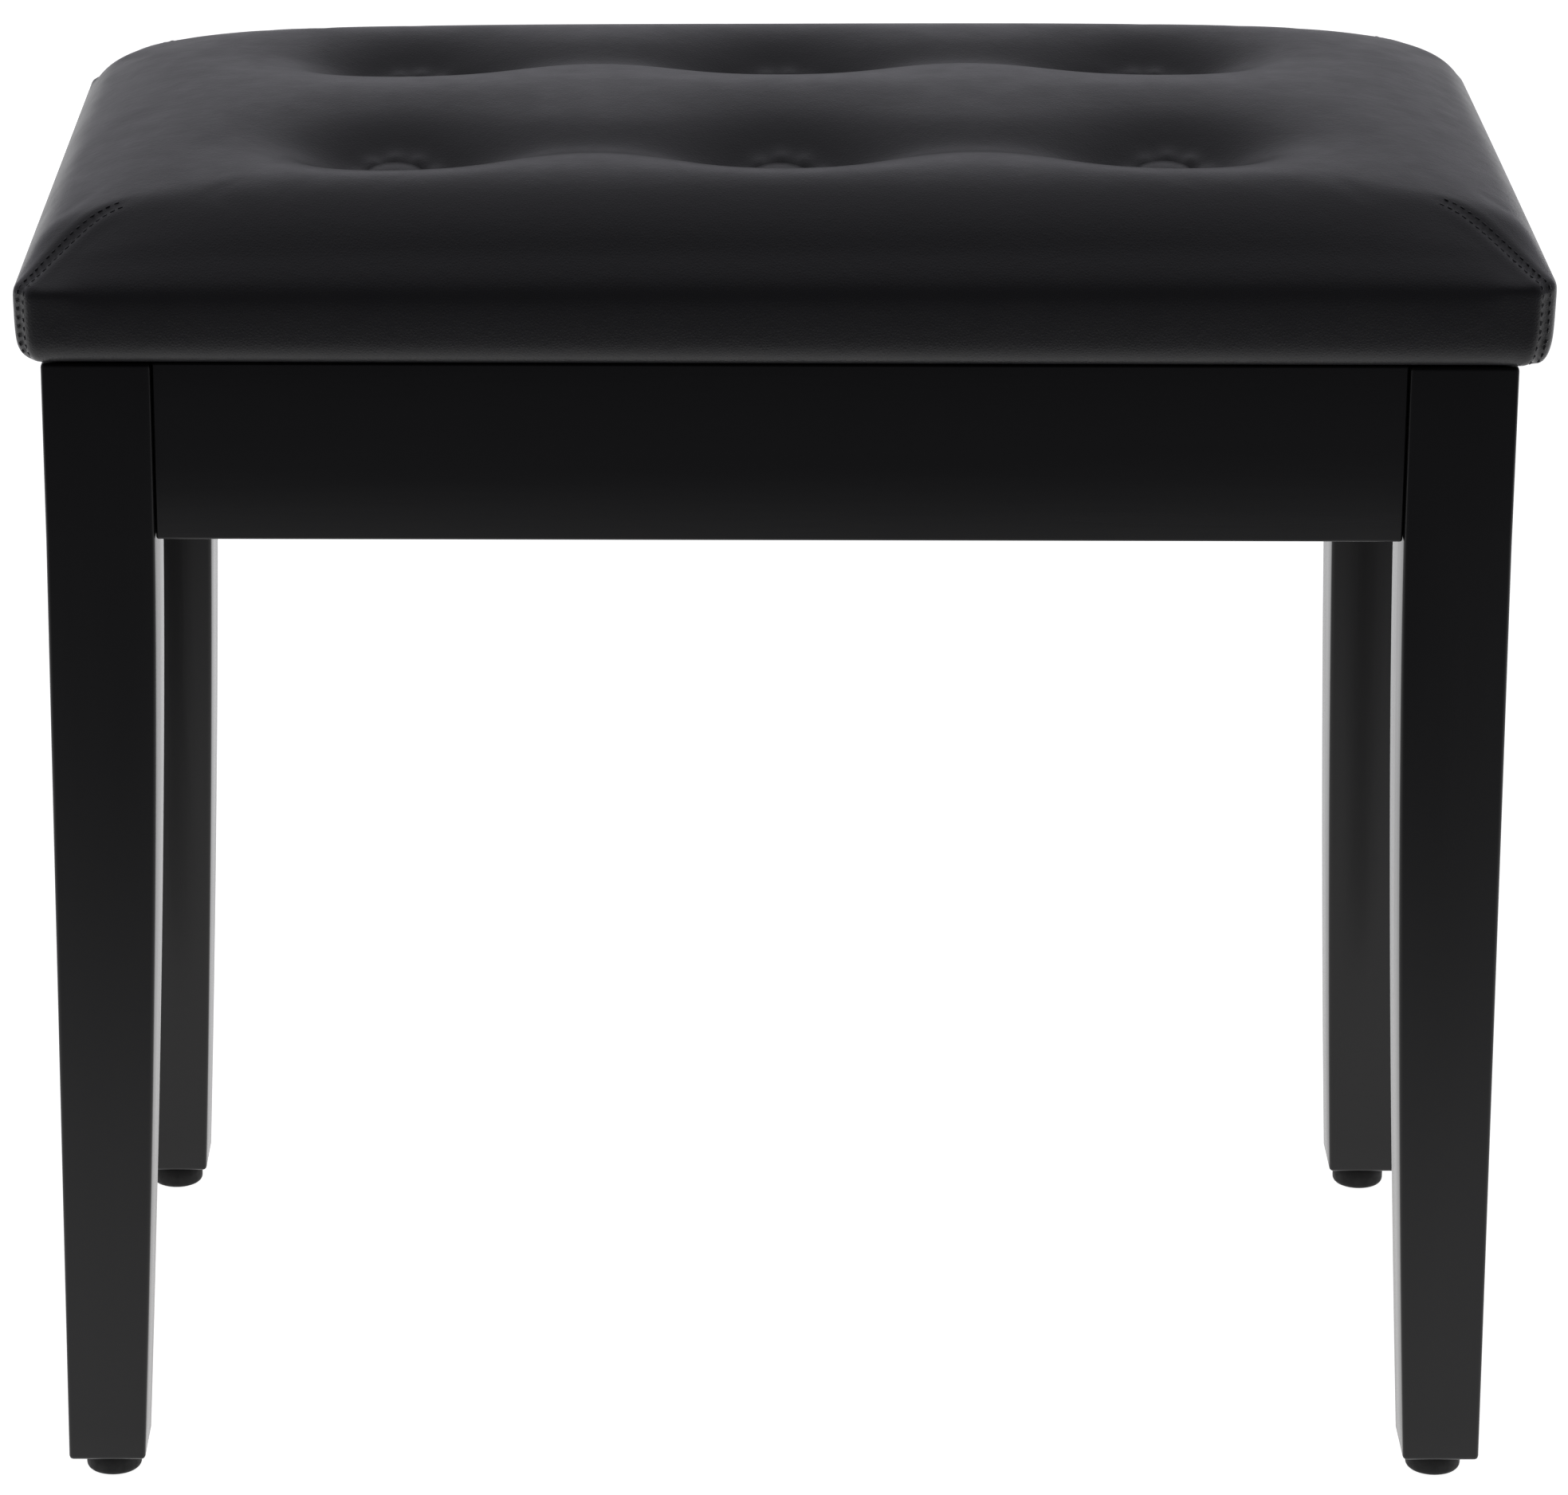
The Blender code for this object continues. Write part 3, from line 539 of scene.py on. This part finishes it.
def even_steps(path, pitch):
    """Places along a path at an even pitch, each with its normal and heading."""
    steps = []
    walked = 0.0
    due = pitch / 2
    for (start, normal), (end, _) in zip(path, path[1:]):
        length = (end - start).length
        while length > 0 and walked + length >= due:
            steps.append((start.lerp(end, (due - walked) / length), normal, (end - start).normalized()))
            due += pitch
        walked += length
    return steps


def press_seams(cover, paths):
    """A groove along each seam, with the leather a little full on both sides of it."""
    points = []
    for path in paths:
        for index, (place, _) in enumerate(path):
            points.append((place, min(1.0, (len(path) - index) / SEAM_FADE)))
    tree = mathutils.kdtree.KDTree(len(points))
    for index, (place, _) in enumerate(points):
        tree.insert(place, index)
    tree.balance()
    normals = [vert.normal.copy() for vert in cover.data.vertices]
    for vert, normal in zip(cover.data.vertices, normals):
        _, nearest, distance = tree.find(vert.co)
        if distance > 0.010:
            continue
        share = points[nearest][1]
        groove = SEAM_GROOVE * math.exp(-((distance / 0.0014) ** 2))
        fullness = SEAM_FULLNESS * math.exp(-(((distance - 0.0042) / 0.0022) ** 2))
        vert.co += normal * (fullness - groove) * share


def press_pleats(cover):
    """A low collar of gathered leather round each button, with short folds that fan out from it."""
    for vert in cover.data.vertices:
        if vert.co.z < BAND_TOP:
            continue
        for number, button in enumerate(BUTTONS):
            across, back = vert.co.x - LID_SHIFT - button.x, vert.co.y - button.y
            reach = math.hypot(across, back)
            if reach < 0.030:
                fan = math.cos(PLEATS * math.atan2(back, across) + number)
                collar = math.exp(-(((reach - GATHER_REACH) / GATHER_WIDTH) ** 2))
                vert.co.z += (GATHER_RISE + PLEAT_DEPTH * fan) * collar


def small_bar(bm, centre, along, across, up, size):
    """A rounded bar with its length, width and height along three directions."""
    turn = Matrix((along, across, up)).transposed().to_4x4()
    shape = Matrix.Diagonal((size[0] / 2, size[1] / 2, size[2] / 2, 1.0))
    place = Matrix.Translation(centre) @ turn @ shape
    bmesh.ops.create_icosphere(bm, subdivisions=1, radius=1.0, matrix=place)


def add_stitches(corner, path):
    """Two rows of thread stitches, one on each side of a corner's seam."""
    bm = bmesh.new()
    for centre, normal, along in even_steps(path[:-8], STITCH_PITCH):
        across = normal.cross(along).normalized()
        along = across.cross(normal)
        for side in (-1, 1):
            place = centre + across * side * 0.0019 + normal * 0.00005
            small_bar(bm, place, along, across, normal, (0.0023, 0.0006, 0.0005))
    finish_piece(f"seam_stitches_{corner}", bm, THREAD, "lid")


def add_cover():
    """The leather cover, swollen by its padding and sewn at its four corners."""
    bm = cover_mesh()
    soften_front_edge(bm)
    stands_for = ("leather_cover", "foam_pad")
    cover = finish_piece("seat_cover", bm, LEATHER, "lid", stands_for)
    swell(cover)
    for vert in cover.data.vertices:
        raised = max(0.0, min(1.0, (vert.co.z - SEAT_BOTTOM - 0.002) / 0.020))
        vert.co.z += LID_TILT * raised * vert.co.x / HALF_WIDE
        vert.co.x += LID_SHIFT
    subdivide_once(cover)
    close_underside(cover)
    surface = mathutils.bvhtree.BVHTree.FromObject(cover, bpy.context.evaluated_depsgraph_get())
    paths = {corner: seam_path(corner, surface) for corner in CORNERS}
    press_seams(cover, list(paths.values()))
    press_pleats(cover)
    for corner, path in paths.items():
        add_stitches(corner, path)
    cover.data.shade_smooth()
    return surface


def add_dust_sheet():
    """Spun cloth stretched over the underside."""
    wide, deep = DUST_HALF.x, DUST_HALF.y
    bm = bmesh.new()
    bmesh.ops.create_grid(bm, x_segments=96, y_segments=52, size=1.0)
    for vert in bm.verts:
        x, y = round_corner(vert.co.x * wide, vert.co.y * deep, wide, deep, DUST_CORNER)
        ripple = math.sin(x * 90 + 9 * y) * math.sin(y * 130 + 1.0)
        vert.co = (DUST_MIDDLE.x + x, DUST_MIDDLE.y + y, DUST_LOW.z + 0.0003 + 0.00018 * ripple)
    sheet = finish_piece("dust_sheet", bm, DUST_CLOTH, "lid", ("dust_cover",))
    body = sheet.modifiers.new("cloth", "SOLIDIFY")
    body.thickness = 0.0003
    body.offset = 0.0


def add_staples():
    """Staples in a row along each edge of the dust cloth."""
    bm = bmesh.new()
    edge = 0.006
    wide, deep = DUST_HALF.x, DUST_HALF.y
    along, across, up = Vector((1, 0, 0)), Vector((0, 1, 0)), Vector((0, 0, 1))
    runs = [(wide - 0.05, deep - edge, along, across, 10), (deep - 0.04, wide - edge, across, along, 5)]
    for reach, out, heading, sideways, count in runs:
        for number in range(count):
            travel = -reach + 2 * reach * number / (count - 1)
            for side in (-1, 1):
                place = heading * travel + sideways * side * out
                centre = Vector((DUST_MIDDLE.x + place.x, DUST_MIDDLE.y + place.y, DUST_LOW.z + 0.00005))
                small_bar(bm, centre, heading, sideways, up, (0.0095, 0.0009, 0.0007))
    finish_piece("hem_staples", bm, ZINC, "lid")


def add_buttons(surface):
    """Leather-covered buttons, pulled down until only the crown of each shows in its pocket."""
    for number, place in enumerate(BUTTONS, start=1):
        seat, _, _, _ = surface.ray_cast(Vector((place.x, place.y, 1.0)), Vector((0, 0, -1)))
        seat.z += BUTTON_LIFT
        profile = [
            (0, -0.0040),
            (BUTTON_RADIUS * 0.5, -0.0032),
            (BUTTON_RADIUS * 0.9, 0.0010),
            (BUTTON_RADIUS, 0.0034),
            (BUTTON_RADIUS * 0.97, 0.0052),
            (BUTTON_RADIUS * 0.85, 0.0063),
            (BUTTON_RADIUS * 0.6, 0.0074),
            (BUTTON_RADIUS * 0.3, 0.0080),
            (0, 0.0082),
        ]
        bm = turned(profile, Matrix.Translation(seat), 40)
        stands_for = (f"tuft_button_{number}",)
        finish_piece(f"seat_button_{number}", bm, LEATHER, "lid", stands_for, 60)


# Frame


def leg_mesh(corner):
    """A square post with softened edges. Its inner faces taper in one gentle curve to the toe."""
    low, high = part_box(f"leg_{corner}")
    apron_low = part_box("apron_front")[0].z
    side_x, side_y = CORNERS[corner]
    top_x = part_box("leg_rear_right")[1].x
    toe_x = max(abs(low.x), abs(high.x))
    outer_y = max(abs(low.y), abs(high.y))
    bm = bmesh.new()
    rings = []
    heights = [apron_low + (low.z - apron_low) * step / LEG_STEPS for step in range(LEG_STEPS + 1)]
    for height in [high.z, *heights]:
        fall = max((apron_low - height) / (apron_low - low.z), 0.0)
        width = LEG_WIDTH - (LEG_WIDTH - LEG_TOE_WIDTH) * fall**TAPER_POWER
        outer_x = top_x + (toe_x - top_x) * fall
        inner_x, inner_y = outer_x - width, outer_y - width
        places = [(inner_x, inner_y), (outer_x, inner_y), (outer_x, outer_y), (inner_x, outer_y)]
        rings.append([bm.verts.new((side_x * x, side_y * y, height)) for x, y in places])
    bm.faces.new(rings[0])
    bm.faces.new(rings[-1])
    for upper, lower in zip(rings, rings[1:]):
        for number in range(4):
            after = (number + 1) % 4
            bm.faces.new((upper[number], upper[after], lower[after], lower[number]))
    bmesh.ops.recalc_face_normals(bm, faces=bm.faces)
    sharp = [edge for edge in bm.edges if edge.calc_face_angle(0.0) > math.radians(40)]
    bevel(bm, sharp, LEG_EDGE)
    return bm


def add_legs():
    for corner in CORNERS:
        bm = leg_mesh(corner)
        stands_for = (f"leg_{corner}",)
        finish_piece(f"tapered_leg_{corner}", bm, LEG_WOOD, "frame", stands_for, 50)


def add_aprons():
    """The four boards with softly rounded edges."""
    for side in ("front", "rear", "left", "right"):
        low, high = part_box(f"apron_{side}")
        bm = bmesh.new()
        size = Matrix.Diagonal((high - low).to_4d())
        bmesh.ops.create_cube(bm, size=1.0, matrix=Matrix.Translation((low + high) / 2) @ size)
        bevel(bm, list(bm.edges), APRON_EDGE)
        wood = LONG_WOOD if side in ("front", "rear") else SIDE_WOOD
        finish_piece(f"apron_board_{side}", bm, wood, "frame", (f"apron_{side}",), 50)


def add_glides():
    """Round feet with a soft lower edge and a recess for the screw."""
    for corner in CORNERS:
        low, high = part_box(f"glide_{corner}")
        centre = (low + high) / 2
        radius = (high.x - low.x) / 2
        height = high.z - low.z
        profile = [(0, GLIDE_RECESS), (GLIDE_RECESS_RADIUS, GLIDE_RECESS)]
        profile += [(GLIDE_RECESS_RADIUS + 0.0001, 0.0006), (GLIDE_RECESS_RADIUS + 0.0007, 0.0)]
        for step in range(6):
            angle = math.radians(90 * step / 5)
            inward, upward = 1 - math.sin(angle), 1 - math.cos(angle)
            profile.append((radius - GLIDE_EDGE * inward, GLIDE_EDGE * upward))
        profile += [(radius, height - 0.0006), (radius - 0.0006, height), (0, height)]
        bm = turned(profile, Matrix.Translation((centre.x, centre.y, low.z)), 48)
        stands_for = (f"glide_{corner}",)
        finish_piece(f"round_glide_{corner}", bm, RUBBER, "frame", stands_for, 50)


def finish_cad_nodes():
    """Finishes for the CAD pieces that stay as they are."""
    finishes = {
        "storage_floor": PLYWOOD,
        "seat_board": PLYWOOD,
        "lid_bumper": RUBBER,
    }
    for name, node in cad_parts.items():
        if node.hide_render:
            continue
        found = [finish for start, finish in finishes.items() if name.startswith(start)]
        material = found[0] if found else ZINC
        node.data.materials.clear()
        node.data.materials.append(material)


# Studio


def add_floor():
    """A wide white floor with painted light: its emission makes it glow round the bench, as a lit sweep
    does, and the glow dims well in front of it.
    """
    bm = bmesh.new()
    bmesh.ops.create_grid(bm, x_segments=1, y_segments=1, size=12.0)
    mesh = bpy.data.meshes.new("studio_floor")
    bm.to_mesh(mesh)
    bm.free()
    material = bpy.data.materials.new("studio_floor")
    material.use_nodes = True
    shader = material.node_tree.nodes["Principled BSDF"]
    shader.inputs["Base Color"].default_value = (0.5, 0.5, 0.5, 1.0)
    shader.inputs["Roughness"].default_value = 0.9
    shader.inputs["Specular IOR Level"].default_value = 0.0
    shader.inputs["Emission Color"].default_value = (1.0, 1.0, 1.0, 1.0)
    # Painted light: the emission strength fades from bright near the bench to nearly dark well in front of
    # it.
    fade = fade_along_y(material, "Object", -1.15, -0.12, 0.02, 0.96)
    link(material, fade, "Result", shader, "Emission Strength")
    mesh.materials.append(material)
    floor = bpy.data.objects.new("studio_floor", mesh)
    bpy.context.scene.collection.objects.link(floor)


def add_world():
    """A soft surround: bright behind and above, dark on the side that the front of the bench faces."""
    world = bpy.data.worlds.new("studio")
    bpy.context.scene.world = world
    world.use_nodes = True
    fade = fade_along_y(world, "Generated", -0.8, 0.25, 0.13, 0.47)
    background = world.node_tree.nodes["Background"]
    background.inputs["Color"].default_value = (0.97, 0.96, 1.04, 1.0)
    link(world, fade, "Result", background, "Strength")


def add_camera():
    """A long lens from in front, a little above the seat and looking down on it."""
    data = bpy.data.cameras.new("camera")
    data.sensor_width = 36.0
    data.lens = 149.5
    data.shift_x = -0.0049
    camera = bpy.data.objects.new("camera", data)
    pitch, yaw, roll = math.radians(19.33), math.radians(0.80), math.radians(-0.37)
    heading = Matrix.Rotation(-yaw, 4, "Z")
    tilt = Matrix.Rotation(math.pi / 2 - pitch, 4, "X")
    lean = Matrix.Rotation(-roll, 4, "Z")
    camera.matrix_world = Matrix.Translation((-0.0268, -2.408, 1.088)) @ heading @ tilt @ lean
    bpy.context.scene.collection.objects.link(camera)
    bpy.context.scene.camera = camera


def main():
    bpy.context.scene.view_settings.view_transform = "Standard"
    add_camera()
    add_buttons(add_cover())
    add_dust_sheet()
    add_staples()
    add_legs()
    add_aprons()
    add_glides()
    finish_cad_nodes()
    add_floor()
    add_world()


main()
